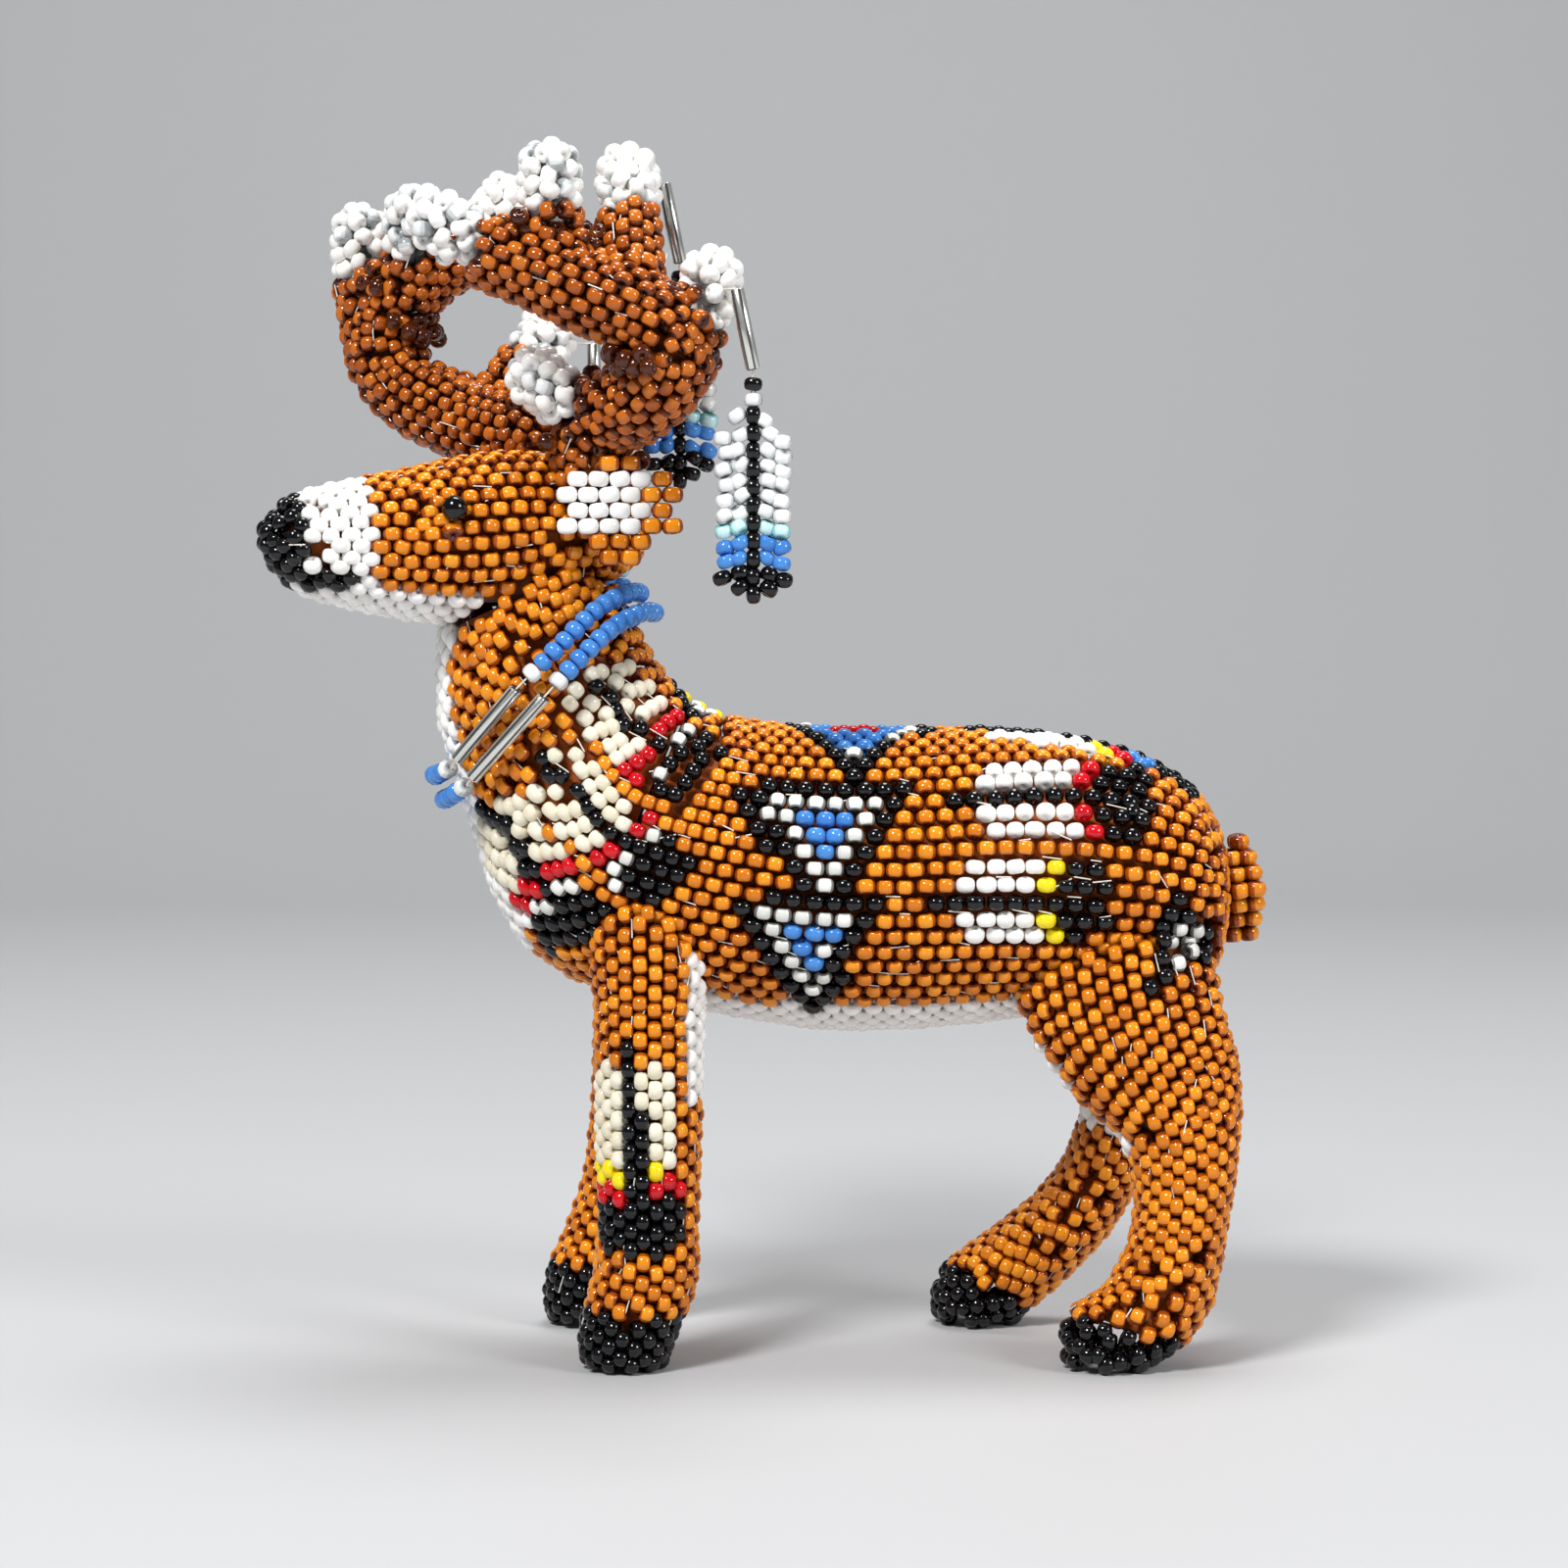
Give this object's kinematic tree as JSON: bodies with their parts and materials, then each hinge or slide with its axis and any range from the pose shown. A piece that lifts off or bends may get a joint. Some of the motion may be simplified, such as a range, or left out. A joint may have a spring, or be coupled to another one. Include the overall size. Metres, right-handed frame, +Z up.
{
  "type": "beaded deer figurine",
  "caption": "Thread-sewn glass-bead deer figurine with beaded antlers, a two-strand necklace and hanging bead feathers.",
  "frame": {"origin": "middle of the figure's bounding box, on the ground plane", "axes": "+Z up, the deer faces -X, its left side faces -Y"},
  "size_m": [0.1014, 0.0408, 0.1226],
  "materials": {
    "amber_beads": "colour-lined transparent amber seed beads, glossy",
    "antler_beads": "dark root-beer transparent seed beads with an orange lining, glossy",
    "white_beads": "opaque white seed beads, glossy",
    "black_beads": "opaque jet black seed beads, glossy",
    "blue_beads": "opaque periwinkle blue seed beads, glossy",
    "silver_bugles": "silver-lined clear tube beads",
    "feather_beads": "clear, aqua-lined, blue and black seed beads in flat stitch",
    "core_cloth": "dark brown felt-like cloth over a firm stuffed core",
    "antler_wire_wrap": "cloth-wrapped wire inside the antlers"
  },
  "bodies": {
    "figure": {"torso_beadwork": "amber_beads", "neck_beadwork": "amber_beads", "torso_core": "core_cloth", "front_left_leg_beadwork": "amber_beads", "front_left_hoof": "black_beads", "front_left_leg_core": "core_cloth", "front_right_leg_beadwork": "amber_beads", "front_right_hoof": "black_beads", "front_right_leg_core": "core_cloth", "rear_left_leg_beadwork": "amber_beads", "rear_left_hoof": "black_beads", "rear_left_leg_core": "core_cloth", "rear_right_leg_beadwork": "amber_beads", "rear_right_hoof": "black_beads", "rear_right_leg_core": "core_cloth", "head_beadwork": "amber_beads", "muzzle_beadwork": "white_beads", "nose_beadwork": "black_beads", "head_core": "core_cloth", "neck_core": "core_cloth", "eye_left": "black_beads", "eye_right": "black_beads", "ear_left": "amber_beads", "ear_right": "amber_beads", "antler_left_lower": "antler_beads", "antler_left_upper": "antler_beads", "antler_left_core": "antler_wire_wrap", "antler_left_brow_cap": "white_beads", "antler_left_back_cap": "white_beads", "antler_left_top_rear_cap": "white_beads", "antler_left_top_front_cap": "white_beads", "antler_left_front_cap": "white_beads", "antler_right_lower": "antler_beads", "antler_right_upper": "antler_beads", "antler_right_core": "antler_wire_wrap", "antler_right_brow_cap": "white_beads", "antler_right_outer_cap": "white_beads", "antler_right_top_cap": "white_beads", "antler_right_inner_cap": "white_beads", "tail": "amber_beads"},
    "necklace": {"necklace_inner_nape_beads": "blue_beads", "necklace_inner_front_beads": "blue_beads", "necklace_inner_bugle_left": "silver_bugles", "necklace_inner_bugle_right": "silver_bugles", "necklace_outer_nape_beads": "blue_beads", "necklace_outer_front_beads": "blue_beads", "necklace_outer_bugle_left": "silver_bugles", "necklace_outer_bugle_right": "silver_bugles"},
    "pendant_back_drop": {"pendant_back_bugle": "silver_bugles"},
    "pendant_back_plume": {"pendant_back_feather": "feather_beads"},
    "pendant_top_drop": {"pendant_top_bugle": "silver_bugles"},
    "pendant_top_plume": {"pendant_top_feather": "feather_beads"},
    "pendant_brow_drop": {"pendant_brow_bugle": "silver_bugles"},
    "pendant_brow_plume": {"pendant_brow_feather": "feather_beads"}
  },
  "joints": [
    {"name": "necklace_lift", "type": "hinge", "parent": "figure", "child": "necklace", "pos_m": [-0.01193, -0.00002, 0.0762], "axis": [0, 1, 0], "range_deg": [0, 12]},
    {"name": "pendant_back_swing", "type": "hinge", "parent": "figure", "child": "pendant_back_drop", "pos_m": [-0.00258, -0.01822, 0.1067], "axis": [1, 0, 0], "range_deg": [-35, 8]},
    {"name": "pendant_back_sway", "type": "hinge", "parent": "pendant_back_drop", "child": "pendant_back_plume", "pos_m": [-0.00098, -0.01822, 0.09865], "axis": [0, 1, 0], "range_deg": [-35, 20]},
    {"name": "pendant_top_swing", "type": "hinge", "parent": "figure", "child": "pendant_top_drop", "pos_m": [-0.01008, -0.00302, 0.1184], "axis": [1, 0, 0], "range_deg": [0, 30]},
    {"name": "pendant_top_sway", "type": "hinge", "parent": "pendant_top_drop", "child": "pendant_top_plume", "pos_m": [-0.00848, -0.00302, 0.11015], "axis": [0, 1, 0], "range_deg": [-30, 0]},
    {"name": "pendant_brow_swing", "type": "hinge", "parent": "figure", "child": "pendant_brow_drop", "pos_m": [-0.01818, 0.01768, 0.1036], "axis": [1, 0, 0], "range_deg": [-3, 40]},
    {"name": "pendant_brow_sway", "type": "hinge", "parent": "pendant_brow_drop", "child": "pendant_brow_plume", "pos_m": [-0.01808, 0.01768, 0.09515], "axis": [0, 1, 0], "range_deg": [-25, 25]}
  ]
}
